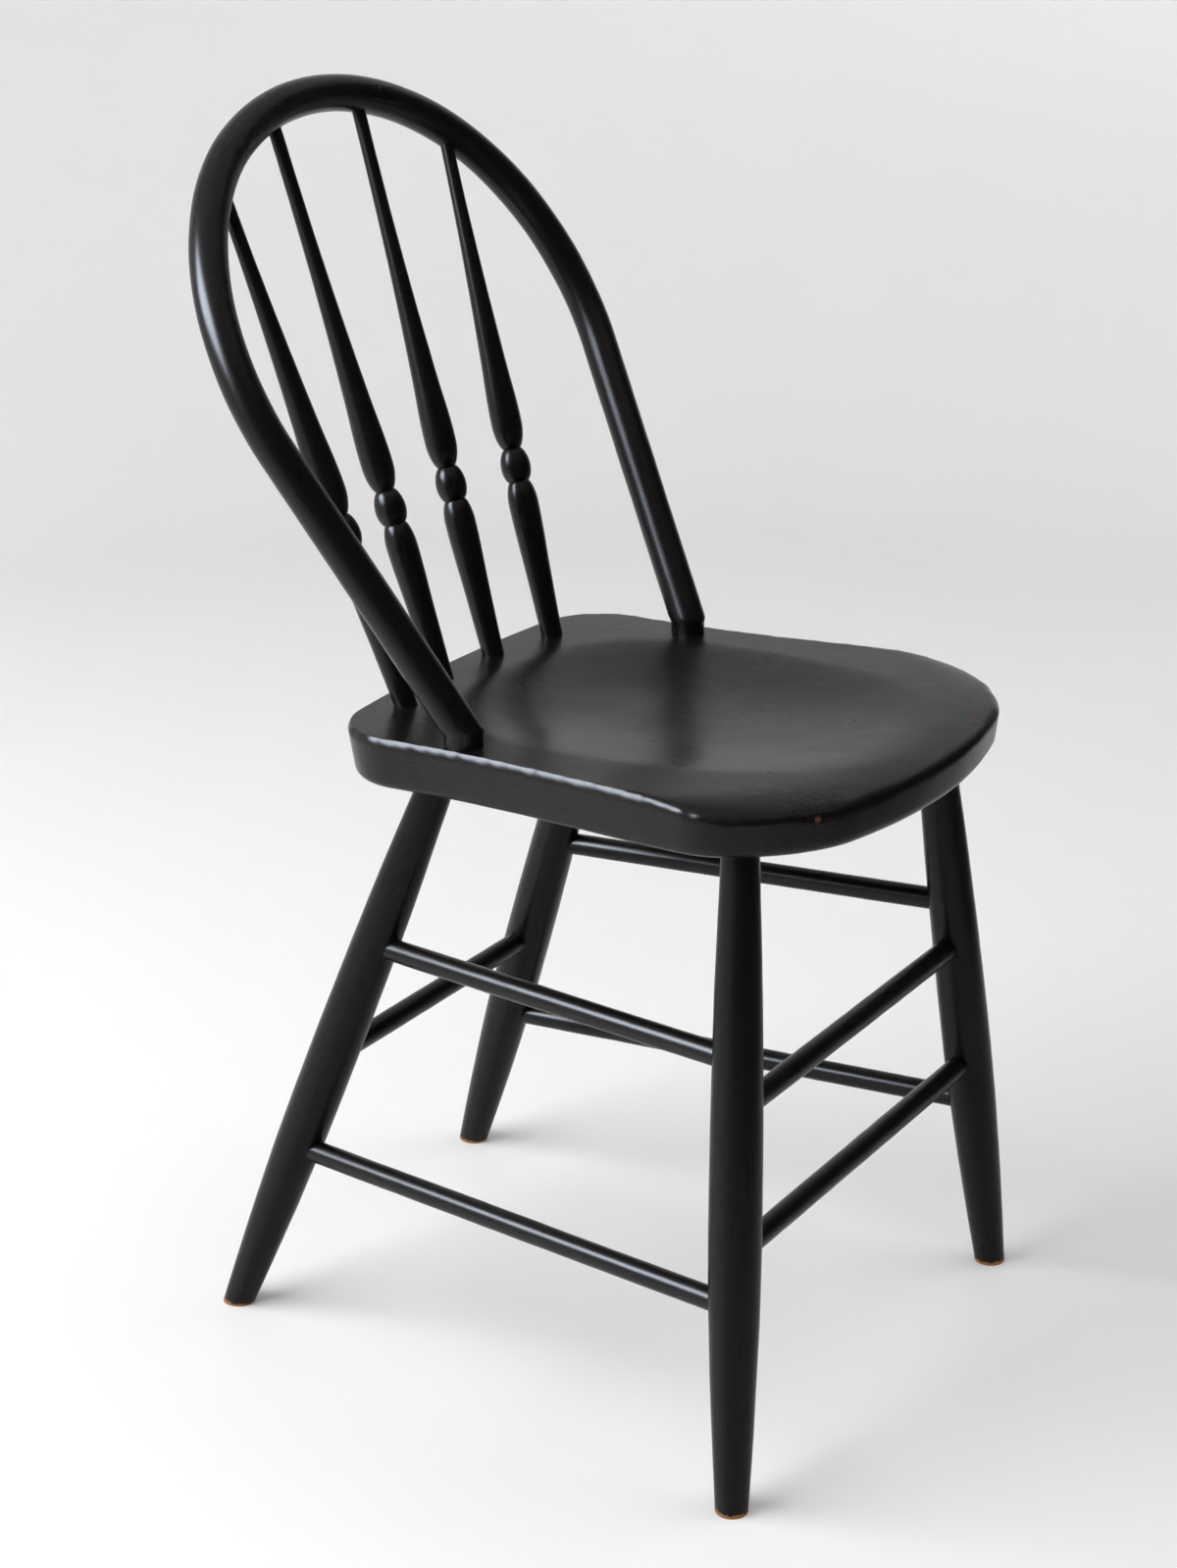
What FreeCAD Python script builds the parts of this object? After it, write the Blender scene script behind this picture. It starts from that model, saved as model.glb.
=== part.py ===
"""Hoop-back windsor side chair: a saddled plank seat on four turned legs with seven stretchers,
and a bent bow that carries four turned spindles.

Frame: millimetres, +Z up, the floor at Z = 0. The chair faces -Y and +X is the sitter's left.
The origin lies on the floor under the middle of the chair's outline.
"""
import FreeCAD, Part
import math
import os
from FreeCAD import Vector

os.makedirs("parts", exist_ok=True)

# Fits
GLUE_LINE = 0.1
END_SPACE = 0.25

# Seat plank: its height is its rim's at the middle of the chair, and it slopes down to the back
SEAT_HEIGHT = 458.0
SEAT_SLOPE_DEG = 1.8
SEAT_THICKNESS = 36.0
SEAT_FRONT_Y = -248.5
SEAT_BACK_Y = 137.5
SEAT_FRONT_CORNER_Y = -209.0
SEAT_THIGH_Y = -130.0
SEAT_WAIST_Y = 6.0
SEAT_REAR_CORNER_Y = 126.0
SEAT_FRONT_HALF_WIDTH = 171.0
SEAT_THIGH_HALF_WIDTH = 168.0
SEAT_WAIST_HALF_WIDTH = 156.5
SEAT_REAR_HALF_WIDTH = 162.0
SEAT_FRONT_CORNER_RADIUS = 75.0
SEAT_REAR_CORNER_RADIUS = 55.0
SEAT_UNDERCUT = 5.0
SEAT_TOP_EDGE_RADIUS = 2.0
SEAT_BOTTOM_EDGE_RADIUS = 6.0

# Saddle hollowed in the seat, and the roll of its front edge
SADDLE_DEPTH = 12.0
SADDLE_MIDDLE_Y = -20.0
SADDLE_HALF_WIDTH = 124.0
SADDLE_FRONT_REACH = 205.0
SADDLE_REAR_REACH = 114.0
SADDLE_SQUARENESS = 2.4
SADDLE_SOFTNESS = 1.5
FRONT_ROLL_WIDTH = 46.0
FRONT_ROLL_DROP = 8.0
FRONT_ROLL_CORNER_SHARE = 0.9

# Legs: where each axis meets the seat's underside and the floor
FRONT_LEG_TOP_X = 131.3
FRONT_LEG_TOP_Y = -169.8
FRONT_LEG_FOOT_X = 190.4
FRONT_LEG_FOOT_Y = -206.4
REAR_LEG_TOP_X = 94.3
REAR_LEG_TOP_Y = 75.8
REAR_LEG_FOOT_X = 149.0
REAR_LEG_FOOT_Y = 222.8
LEG_FOOT_DIAMETER = 22.0
LEG_ANKLE_DIAMETER = 29.2
LEG_ANKLE_HEIGHT = 75.0
LEG_BELLY_DIAMETER = 34.4
LEG_BELLY_HEIGHT = 185.0
LEG_NECK_DIAMETER = 30.4
LEG_NECK_BELOW_SEAT = 92.0
LEG_TOP_DIAMETER = 24.0
LEG_TENON_LENGTH = 22.0
LEG_FOOT_EDGE_RADIUS = 1.2

# Stretchers: heights of their axes on the legs
STRETCHER_DIAMETER = 16.0
STRETCHER_AXIS_GAP = 3.0
SIDE_UPPER_FRONT_HEIGHT = 293.4
SIDE_UPPER_REAR_HEIGHT = 286.7
SIDE_LOWER_FRONT_HEIGHT = 134.7
SIDE_LOWER_REAR_HEIGHT = 128.5
FRONT_UPPER_HEIGHT = 261.0
FRONT_LOWER_HEIGHT = 168.7
REAR_STRETCHER_HEIGHT = 200.1

# Bow: a crown arc, two shoulder arcs and two straight ends, all in one plane that leans back.
# Its feet are where its axis meets the seat's underside.
BOW_DIAMETER = 25.0
BOW_FOOT_X = 128.0
BOW_FOOT_Y = 2.2
BOW_CROWN_HEIGHT = 830.6
BOW_TILT_DEG = 30.3
BOW_CROWN_RADIUS = 213.0
BOW_CROWN_HALF_ANGLE_DEG = 25.9
BOW_SHOULDER_RADIUS = 174.7

# Spindles: where each axis meets the seat's top, and how far out it meets the bow
OUTER_SPINDLE_FOOT_X = 89.0
OUTER_SPINDLE_FOOT_Y = 108.0
OUTER_SPINDLE_TOP_X = 124.4
INNER_SPINDLE_FOOT_X = 30.8
INNER_SPINDLE_FOOT_Y = 118.9
INNER_SPINDLE_TOP_X = 46.7
SPINDLE_FOOT_DIAMETER = 15.2
SPINDLE_TENON_LENGTH = 20.0
SPINDLE_SHIN_DIAMETER = 18.0
SPINDLE_SHIN_HEIGHT = 45.0
SPINDLE_VASE_DIAMETER = 21.4
SPINDLE_VASE_HEIGHT = 94.0
SPINDLE_LOWER_GROOVE_DIAMETER = 17.4
SPINDLE_LOWER_GROOVE_HEIGHT = 109.5
SPINDLE_BEAD_DIAMETER = 21.4
SPINDLE_BEAD_HEIGHT = 120.0
SPINDLE_UPPER_GROOVE_DIAMETER = 15.4
SPINDLE_UPPER_GROOVE_HEIGHT = 133.0
SPINDLE_SHOULDER_DIAMETER = 21.8
SPINDLE_SHOULDER_HEIGHT = 151.0
SPINDLE_WAIST_DIAMETER = 17.1
SPINDLE_WAIST_HEIGHT = 201.0
SPINDLE_TAPER_DIAMETER = 13.2
SPINDLE_TAPER_HEIGHT = 249.0
SPINDLE_TOP_DIAMETER = 9.2
SPINDLE_TOP_TENON_LENGTH = 12.0

# Wedges
BOW_WEDGE_LENGTH = 24.0
BOW_WEDGE_THICKNESS = 3.4
LEG_WEDGE_LENGTH = 15.0
LEG_WEDGE_THICKNESS = 2.8
WEDGE_TIP_THICKNESS = 0.8

UP = Vector(0, 0, 1)
SEAT_TILT = FreeCAD.Rotation(Vector(1, 0, 0), -SEAT_SLOPE_DEG)
SEAT_PLACE = FreeCAD.Placement(Vector(0, 0, SEAT_HEIGHT), SEAT_TILT)
SIDES = {"right": -1, "left": 1}


def save(name, shape):
    """Write one piece, and say how many solids it holds."""
    shape.exportStep("parts/" + name + ".step")
    print(name, len(shape.Solids), "solid", round(shape.Volume), "mm3", "valid", shape.isValid())


def unit(start, end):
    return (end - start).normalize()


def rod(start, direction, length, diameter):
    return Part.makeCylinder(diameter / 2, length, start, direction)


def rim(point):
    """A (height, diameter) point of a turned piece's profile."""
    height, diameter = point
    return Vector(diameter / 2, 0, height)


def straight(start, end):
    return Part.makeLine(rim(start), rim(end))


def flowing(points, crests):
    """A smooth stretch of profile through the points, running along the axis at each crest."""
    curve = Part.BSplineCurve()
    flags = [point in crests for point in points]
    curve.interpolate(Points=[rim(point) for point in points], Tangents=[UP] * len(points), TangentFlags=flags)
    return curve.toShape()


def rounded_end(crest, groove):
    """A round stretch of profile that leaves the crest along the axis and ends at the groove."""
    top = rim(crest)
    low = rim(groove)
    fall = top.x - low.x
    radius = ((top.z - low.z) ** 2 + fall ** 2) / (2 * fall)
    middle_z = (top.z + low.z) / 2
    middle = Vector(top.x - radius + math.sqrt(radius ** 2 - (top.z - middle_z) ** 2), 0, middle_z)
    return Part.Arc(low, middle, top).toShape()


def turned(edges):
    """Revolve a profile that is drawn from its lowest point to its highest."""
    ends = sorted((vertex.Point for vertex in Part.Wire(edges).Vertexes), key=lambda point: point.z)
    low = ends[0]
    high = ends[-1]
    axis_low = Vector(0, 0, low.z)
    axis_high = Vector(0, 0, high.z)
    closing = [Part.makeLine(high, axis_high), Part.makeLine(axis_high, axis_low), Part.makeLine(axis_low, low)]
    return Part.Face(Part.Wire(edges + closing)).revolve(Vector(0, 0, 0), UP, 360)


def stood_on(shape, base, direction):
    """Put a piece that was made along Z at its base, along its own axis."""
    placed = shape.copy()
    placed.Placement = FreeCAD.Placement(base, FreeCAD.Rotation(UP, direction))
    return placed


def block_below(height):
    reach = 1000.0
    return Part.makeBox(2 * reach, 2 * reach, reach, Vector(-reach, -reach, height - reach))


def wedge(base, direction, across, length, thickness, width, slack=0.0):
    """A wedge that is thick at its base and thins along its direction."""
    thin = direction.cross(across).normalize()
    side = across.normalize() * (width / 2)
    half_base = thickness / 2 + slack
    half_tip = WEDGE_TIP_THICKNESS / 2 + slack
    tip = base + direction * (length + slack)
    corners = [base + thin * half_base, tip + thin * half_tip, tip - thin * half_tip, base - thin * half_base]
    corners = [corner - side for corner in corners]
    face = Part.Face(Part.makePolygon(corners + corners[:1]))
    return face.extrude(side * 2)


# Seat: drawn level, with its rim at height 0, and then put on its slope

def on_slope(level_shape):
    placed = level_shape.copy()
    placed.Placement = SEAT_PLACE.multiply(placed.Placement)
    return placed


def on_seat(x, y, depth):
    """A point of the sloping seat, at a depth below its rim."""
    return SEAT_PLACE.multVec(Vector(x, y, -depth))


def below_seat():
    """Everything below the seat's underside."""
    return on_slope(block_below(-SEAT_THICKNESS))


def front_edge_y(x):
    """The front edge's arc, drawn back a share of the way round the corners."""
    crown = SEAT_FRONT_CORNER_Y - SEAT_FRONT_Y
    arc = crown * (x / SEAT_FRONT_HALF_WIDTH) ** 2
    into_corner = abs(x) - (SEAT_FRONT_HALF_WIDTH - SEAT_FRONT_CORNER_RADIUS)
    into_corner = min(max(into_corner, 0.0), FRONT_ROLL_CORNER_SHARE * SEAT_FRONT_CORNER_RADIUS)
    drawn_back = SEAT_FRONT_CORNER_RADIUS - math.sqrt(SEAT_FRONT_CORNER_RADIUS ** 2 - into_corner ** 2)
    return SEAT_FRONT_Y + arc + drawn_back


def saddle_drop(x, y):
    """How far the seat's top lies below its rim."""
    along = y - SADDLE_MIDDLE_Y
    reach = SADDLE_REAR_REACH if along > 0 else SADDLE_FRONT_REACH
    spread = abs(x / SADDLE_HALF_WIDTH) ** SADDLE_SQUARENESS + abs(along / reach) ** SADDLE_SQUARENESS
    inside = max(0.0, 1 - spread)
    roll = max(0.0, 1 - (y - front_edge_y(x)) / FRONT_ROLL_WIDTH)
    return SADDLE_DEPTH * inside ** SADDLE_SOFTNESS + FRONT_ROLL_DROP * roll ** 2


def seat_outline(inset, height):
    """The seat's plan with square corners: an arc in front, a waisted curve each side, an arc behind."""
    def corners(sign):
        stations = [
            (SEAT_FRONT_HALF_WIDTH, SEAT_FRONT_CORNER_Y + inset),
            (SEAT_THIGH_HALF_WIDTH, SEAT_THIGH_Y),
            (SEAT_WAIST_HALF_WIDTH, SEAT_WAIST_Y),
            (SEAT_REAR_HALF_WIDTH, SEAT_REAR_CORNER_Y - inset),
        ]
        return [Vector(sign * (half_width - inset), y, height) for half_width, y in stations]
    left = corners(1)
    right = corners(-1)
    front_middle = Vector(0, SEAT_FRONT_Y + inset, height)
    back_middle = Vector(0, SEAT_BACK_Y - inset, height)
    left_side = Part.BSplineCurve()
    left_side.interpolate(left)
    right_side = Part.BSplineCurve()
    right_side.interpolate(right)
    return Part.Wire([
        Part.Arc(right[0], front_middle, left[0]).toShape(),
        left_side.toShape(),
        Part.Arc(left[-1], back_middle, right[-1]).toShape(),
        right_side.toShape(),
    ])


def saddle_cutter():
    """Everything above the seat's hollowed top."""
    margin = 20.0
    columns = 20
    rows = 26
    width = 2 * (SEAT_FRONT_HALF_WIDTH + margin)
    depth = SEAT_BACK_Y - SEAT_FRONT_Y + 2 * margin
    grid = []
    for column in range(columns + 1):
        x = width * (column / columns - 0.5)
        line = []
        for row in range(rows + 1):
            y = SEAT_FRONT_Y - margin + depth * row / rows
            line.append(Vector(x, y, -saddle_drop(x, y)))
        grid.append(line)
    surface = Part.BSplineSurface()
    surface.interpolate(grid)
    return surface.toShape().extrude(UP * SEAT_THICKNESS)


def corner_edges(shape, front):
    """The edges that run from the blank's bottom to its top, at the front or at the back."""
    found = []
    for edge in shape.Edges:
        box = edge.BoundBox
        if box.ZLength > SEAT_THICKNESS and (box.YMax < 0) == front:
            found.append(edge)
    return found


def rim_edges(shape, height, spread):
    """Edges that lie near one height all along, on the seat's outside."""
    found = []
    for edge in shape.Edges:
        box = edge.BoundBox
        if abs(box.ZMin - height) < spread and abs(box.ZMax - height) < spread:
            found.append(edge)
    return found


def seat_blank():
    bottom = seat_outline(SEAT_UNDERCUT, -SEAT_THICKNESS)
    spare = SADDLE_DEPTH
    top = seat_outline(-SEAT_UNDERCUT * spare / SEAT_THICKNESS, spare)
    blank = Part.makeLoft([bottom, top], True, True)
    blank = blank.makeFillet(SEAT_FRONT_CORNER_RADIUS, corner_edges(blank, True))
    blank = blank.makeFillet(SEAT_REAR_CORNER_RADIUS, corner_edges(blank, False))
    blank = blank.makeFillet(SEAT_BOTTOM_EDGE_RADIUS, rim_edges(blank, -SEAT_THICKNESS, GLUE_LINE))
    blank = blank.cut(saddle_cutter())
    top_edges = rim_edges(blank, -FRONT_ROLL_DROP / 2, FRONT_ROLL_DROP)
    return blank.makeFillet(SEAT_TOP_EDGE_RADIUS, top_edges)


def seat(sockets):
    blank = on_slope(seat_blank())
    for socket in sockets:
        blank = blank.cut(socket)
    return blank


# Legs and stretchers

LEG_PLACES = {
    "front": (FRONT_LEG_TOP_X, FRONT_LEG_TOP_Y, FRONT_LEG_FOOT_X, FRONT_LEG_FOOT_Y),
    "rear": (REAR_LEG_TOP_X, REAR_LEG_TOP_Y, REAR_LEG_FOOT_X, REAR_LEG_FOOT_Y),
}


def leg_axis(end, side):
    """The leg's axis, from the floor to the seat's underside."""
    top_x, top_y, foot_x, foot_y = LEG_PLACES[end]
    sign = SIDES[side]
    return Vector(sign * foot_x, foot_y, 0), on_seat(sign * top_x, top_y, SEAT_THICKNESS)


def leg_point(end, side, height):
    foot, top = leg_axis(end, side)
    return foot + (top - foot) * (height / top.z)


def leg_socket(end, side):
    foot, top = leg_axis(end, side)
    along = unit(foot, top)
    mouth = top - along * SEAT_THICKNESS
    depth = SEAT_THICKNESS + LEG_TENON_LENGTH + END_SPACE
    return rod(mouth, along, depth, LEG_TOP_DIAMETER + 2 * GLUE_LINE)


def leg_wedge_shape(end, side, slack):
    """The fox wedge: its thick end is flush with the tenon's end, inside the seat."""
    foot, top = leg_axis(end, side)
    along = unit(foot, top)
    base = top + along * LEG_TENON_LENGTH
    across = along.cross(Vector(0, 1, 0))
    width = LEG_TOP_DIAMETER + 4 * slack
    return wedge(base, along * -1, across, LEG_WEDGE_LENGTH, LEG_WEDGE_THICKNESS, width, slack)


def leg_wedge(end, side):
    foot, top = leg_axis(end, side)
    tenon = rod(top, unit(foot, top), LEG_TENON_LENGTH, LEG_TOP_DIAMETER)
    return leg_wedge_shape(end, side, 0.0).common(tenon)


def leg(end, side, sockets):
    foot, top = leg_axis(end, side)
    length = (top - foot).Length
    stub = LEG_FOOT_DIAMETER
    ankle_flare = (LEG_ANKLE_DIAMETER - LEG_FOOT_DIAMETER) / LEG_ANKLE_HEIGHT
    belly = (LEG_BELLY_HEIGHT, LEG_BELLY_DIAMETER)
    neck_end = (length, LEG_TOP_DIAMETER)
    profile = [
        (-stub, LEG_FOOT_DIAMETER - ankle_flare * stub),
        (0, LEG_FOOT_DIAMETER),
        (LEG_ANKLE_HEIGHT, LEG_ANKLE_DIAMETER),
        belly,
        (length - LEG_NECK_BELOW_SEAT, LEG_NECK_DIAMETER),
        neck_end,
    ]
    tenon = straight(neck_end, (length + LEG_TENON_LENGTH, LEG_TOP_DIAMETER))
    shape = stood_on(turned([flowing(profile, [belly]), tenon]), foot, unit(foot, top))
    shape = shape.cut(block_below(0.0))
    shape = shape.makeFillet(LEG_FOOT_EDGE_RADIUS, rim_edges(shape, 0.0, GLUE_LINE))
    for socket in sockets:
        shape = shape.cut(socket)
    return shape.cut(leg_wedge_shape(end, side, GLUE_LINE))


def stretcher_ends():
    """Each stretcher's two ends: the leg, and the height of the stretcher's axis on it."""
    ends = {}
    for side in SIDES:
        ends[side + "_upper_stretcher"] = (
            ("front", side, SIDE_UPPER_FRONT_HEIGHT),
            ("rear", side, SIDE_UPPER_REAR_HEIGHT),
        )
        ends[side + "_lower_stretcher"] = (
            ("front", side, SIDE_LOWER_FRONT_HEIGHT),
            ("rear", side, SIDE_LOWER_REAR_HEIGHT),
        )
    for name, end, height in [
        ("front_upper_stretcher", "front", FRONT_UPPER_HEIGHT),
        ("front_lower_stretcher", "front", FRONT_LOWER_HEIGHT),
        ("rear_stretcher", "rear", REAR_STRETCHER_HEIGHT),
    ]:
        ends[name] = ((end, "right", height), (end, "left", height))
    return ends


def stretcher(first, second):
    start = leg_point(*first)
    end = leg_point(*second)
    along = unit(start, end)
    length = (end - start).Length - 2 * STRETCHER_AXIS_GAP
    return rod(start + along * STRETCHER_AXIS_GAP, along, length, STRETCHER_DIAMETER)


def stretcher_socket(here, there):
    start = leg_point(*here)
    along = unit(start, leg_point(*there))
    bottom = start + along * (STRETCHER_AXIS_GAP - END_SPACE)
    return rod(bottom, along, LEG_BELLY_DIAMETER, STRETCHER_DIAMETER + 2 * GLUE_LINE)


def leg_sockets(end, side):
    found = []
    for first, second in stretcher_ends().values():
        if (end, side) == first[:2]:
            found.append(stretcher_socket(first, second))
        if (end, side) == second[:2]:
            found.append(stretcher_socket(second, first))
    return found


# Bow and spindles

def bow_foot(side):
    return on_seat(SIDES[side] * BOW_FOOT_X, BOW_FOOT_Y, SEAT_THICKNESS)


def bow_foot_drop():
    """How far the feet lie below the crown, along the bow's plane."""
    return (BOW_CROWN_HEIGHT - bow_foot("left").z) / math.cos(math.radians(BOW_TILT_DEG))


def in_bow_plane(x, drop):
    """A point of the bow's plane, at a distance below the crown along the plane."""
    tilt = math.radians(BOW_TILT_DEG)
    crown_y = bow_foot("left").y + bow_foot_drop() * math.sin(tilt)
    return Vector(x, crown_y - drop * math.sin(tilt), BOW_CROWN_HEIGHT - drop * math.cos(tilt))


def shoulder_centre():
    """How far the left shoulder arc's centre lies from the bow's middle, and below its crown."""
    crown = math.radians(BOW_CROWN_HALF_ANGLE_DEG)
    reach = BOW_CROWN_RADIUS - BOW_SHOULDER_RADIUS
    return reach * math.sin(crown), BOW_CROWN_RADIUS - reach * math.cos(crown)


def shoulder_end_angle():
    """How far round from the crown the straight end leaves the shoulder arc, to reach the foot."""
    centre_x, centre_drop = shoulder_centre()
    across = BOW_FOOT_X - centre_x
    down = bow_foot_drop() - centre_drop
    return math.atan2(across, -down) - math.acos(BOW_SHOULDER_RADIUS / math.hypot(across, down))


def bow_stations(side):
    """Points of one half of the bow: the crown arc's end, the shoulder arc, and the foot."""
    crown = math.radians(BOW_CROWN_HALF_ANGLE_DEG)
    end = shoulder_end_angle()
    centre_x, centre_drop = shoulder_centre()

    def on_shoulder(angle):
        x = centre_x + BOW_SHOULDER_RADIUS * math.sin(angle)
        return in_bow_plane(SIDES[side] * x, centre_drop - BOW_SHOULDER_RADIUS * math.cos(angle))

    return {
        "crown_end": on_shoulder(crown),
        "shoulder_middle": on_shoulder((crown + end) / 2),
        "shoulder_end": on_shoulder(end),
        "heading": unit(on_shoulder(end), bow_foot(side)),
        "underside": bow_foot(side),
    }


def bow_path():
    right = bow_stations("right")
    left = bow_stations("left")
    spare = BOW_DIAMETER
    right_end = right["underside"] + right["heading"] * spare
    left_end = left["underside"] + left["heading"] * spare
    return Part.Wire([
        Part.makeLine(right_end, right["shoulder_end"]),
        Part.Arc(right["shoulder_end"], right["shoulder_middle"], right["crown_end"]).toShape(),
        Part.Arc(right["crown_end"], in_bow_plane(0, 0), left["crown_end"]).toShape(),
        Part.Arc(left["crown_end"], left["shoulder_middle"], left["shoulder_end"]).toShape(),
        Part.makeLine(left["shoulder_end"], left_end),
    ])


def bow_end(side, diameter):
    """The bow's straight end as a rod that passes right through the seat."""
    place = bow_stations(side)
    start = place["underside"] - place["heading"] * (2 * SEAT_THICKNESS)
    return rod(start, place["heading"], 3 * SEAT_THICKNESS, diameter)


def bow_wedge_shape(side, slack):
    """A wedge driven from below. Its prism runs on past the seat's underside, where it is cut flush."""
    place = bow_stations(side)
    upward = place["heading"] * -1
    spare = SEAT_THICKNESS / 2
    taper = (BOW_WEDGE_THICKNESS - WEDGE_TIP_THICKNESS) / BOW_WEDGE_LENGTH
    base = place["underside"] - upward * spare
    across = upward.cross(Vector(0, 1, 0))
    width = BOW_DIAMETER + 4 * slack
    thickness = BOW_WEDGE_THICKNESS + taper * spare
    return wedge(base, upward, across, BOW_WEDGE_LENGTH + spare, thickness, width, slack)


def bow_wedge(side):
    shape = bow_wedge_shape(side, 0.0).common(bow_end(side, BOW_DIAMETER))
    return shape.cut(below_seat())


def bow(sockets):
    path = bow_path()
    start = path.Vertexes[0].Point
    along = unit(start, path.Vertexes[1].Point)
    ring = Part.Wire([Part.Circle(start, along, BOW_DIAMETER / 2).toShape()])
    shape = path.makePipeShell([ring], True, False)
    shape = shape.cut(below_seat())
    for side in SIDES:
        shape = shape.cut(bow_wedge_shape(side, GLUE_LINE))
    for socket in sockets:
        shape = shape.cut(socket)
    return shape


def bow_point(x):
    """The bow's centre line above the seat, at a distance from its middle."""
    crown = math.radians(BOW_CROWN_HALF_ANGLE_DEG)
    if abs(x) <= BOW_CROWN_RADIUS * math.sin(crown):
        return in_bow_plane(x, BOW_CROWN_RADIUS - math.sqrt(BOW_CROWN_RADIUS ** 2 - x ** 2))
    centre_x, centre_drop = shoulder_centre()
    rise = math.sqrt(BOW_SHOULDER_RADIUS ** 2 - (abs(x) - centre_x) ** 2)
    return in_bow_plane(x, centre_drop - rise)


SPINDLE_PLACES = {
    "outer": (OUTER_SPINDLE_FOOT_X, OUTER_SPINDLE_FOOT_Y, OUTER_SPINDLE_TOP_X),
    "inner": (INNER_SPINDLE_FOOT_X, INNER_SPINDLE_FOOT_Y, INNER_SPINDLE_TOP_X),
}


def spindle_axis(place, side):
    """The spindle's axis, from the seat's top to the bow's centre line."""
    foot_x, foot_y, top_x = SPINDLE_PLACES[place]
    sign = SIDES[side]
    return on_seat(sign * foot_x, foot_y, 0), bow_point(sign * top_x)


def spindle(place, side):
    foot, top = spindle_axis(place, side)
    length = (top - foot).Length
    tenon_end = (-SPINDLE_TENON_LENGTH, SPINDLE_FOOT_DIAMETER)
    seat_line = (0, SPINDLE_FOOT_DIAMETER)
    shin = (SPINDLE_SHIN_HEIGHT, SPINDLE_SHIN_DIAMETER)
    vase = (SPINDLE_VASE_HEIGHT, SPINDLE_VASE_DIAMETER)
    lower_groove = (SPINDLE_LOWER_GROOVE_HEIGHT, SPINDLE_LOWER_GROOVE_DIAMETER)
    bead = (SPINDLE_BEAD_HEIGHT, SPINDLE_BEAD_DIAMETER)
    upper_groove = (SPINDLE_UPPER_GROOVE_HEIGHT, SPINDLE_UPPER_GROOVE_DIAMETER)
    shoulder = (SPINDLE_SHOULDER_HEIGHT, SPINDLE_SHOULDER_DIAMETER)
    waist = (SPINDLE_WAIST_HEIGHT, SPINDLE_WAIST_DIAMETER)
    taper = (SPINDLE_TAPER_HEIGHT, SPINDLE_TAPER_DIAMETER)
    stem = (length - BOW_DIAMETER / 2, SPINDLE_TOP_DIAMETER)
    tip = (length - BOW_DIAMETER / 2 + SPINDLE_TOP_TENON_LENGTH, SPINDLE_TOP_DIAMETER)
    shape = turned([
        straight(tenon_end, seat_line),
        flowing([seat_line, shin, vase], [vase]),
        rounded_end(vase, lower_groove),
        Part.Arc(rim(lower_groove), rim(bead), rim(upper_groove)).toShape(),
        rounded_end(shoulder, upper_groove),
        flowing([shoulder, waist, taper, stem], [shoulder, stem]),
        straight(stem, tip),
    ])
    return stood_on(shape, foot, unit(foot, top))


def spindle_foot_socket(place, side):
    foot, top = spindle_axis(place, side)
    along = unit(foot, top)
    bottom = foot - along * (SPINDLE_TENON_LENGTH + END_SPACE)
    return rod(bottom, along, 2 * SPINDLE_TENON_LENGTH, SPINDLE_FOOT_DIAMETER + 2 * GLUE_LINE)


def spindle_top_socket(place, side):
    foot, top = spindle_axis(place, side)
    along = unit(foot, top)
    bottom = top - along * (BOW_DIAMETER / 2 - SPINDLE_TOP_TENON_LENGTH - END_SPACE)
    return rod(bottom, along * -1, BOW_DIAMETER, SPINDLE_TOP_DIAMETER + 2 * GLUE_LINE)


def main():
    places = [(place, side) for place in SPINDLE_PLACES for side in SIDES]
    corners = [(end, side) for end in LEG_PLACES for side in SIDES]

    seat_sockets = [leg_socket(*corner) for corner in corners]
    seat_sockets += [spindle_foot_socket(*place) for place in places]
    seat_sockets += [bow_end(side, BOW_DIAMETER + 2 * GLUE_LINE) for side in SIDES]
    save("seat", seat(seat_sockets))

    save("bow", bow([spindle_top_socket(*place) for place in places]))
    for side in SIDES:
        save("bow_wedge_" + side, bow_wedge(side))
    for place, side in places:
        save(place + "_spindle_" + side, spindle(place, side))
    for end, side in corners:
        save(end + "_leg_" + side, leg(end, side, leg_sockets(end, side)))
        save(end + "_leg_wedge_" + side, leg_wedge(end, side))
    for name, (first, second) in stretcher_ends().items():
        save(name, stretcher(first, second))


main()
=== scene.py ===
"""Hoop-back windsor side chair in black satin paint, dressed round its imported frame.

Metres, +Z up, the floor at Z = 0. The chair faces -Y and +X is the sitter's left.
"""

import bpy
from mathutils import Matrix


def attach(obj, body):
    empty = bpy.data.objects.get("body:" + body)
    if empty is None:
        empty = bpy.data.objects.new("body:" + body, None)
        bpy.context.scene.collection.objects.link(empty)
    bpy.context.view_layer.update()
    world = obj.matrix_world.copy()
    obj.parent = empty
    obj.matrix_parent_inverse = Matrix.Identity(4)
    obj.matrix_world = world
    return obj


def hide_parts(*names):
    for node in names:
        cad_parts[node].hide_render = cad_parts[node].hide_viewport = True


bl_info = {
    "name": "Hoop-Back Windsor Chair",
    "version": (1, 0, 0),
    "blender": (4, 5, 0),
    "location": "View3D > Sidebar > Windsor Chair",
    "description": "Builds a hoop-back windsor side chair in worn black satin paint",
    "category": "Add Mesh",
}

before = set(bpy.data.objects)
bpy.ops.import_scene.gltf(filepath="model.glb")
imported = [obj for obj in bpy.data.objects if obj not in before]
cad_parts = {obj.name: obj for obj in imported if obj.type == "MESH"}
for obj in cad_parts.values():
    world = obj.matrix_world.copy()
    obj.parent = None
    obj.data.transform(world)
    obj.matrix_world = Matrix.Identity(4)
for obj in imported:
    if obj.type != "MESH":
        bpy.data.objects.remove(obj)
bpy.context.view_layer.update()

import math

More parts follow.
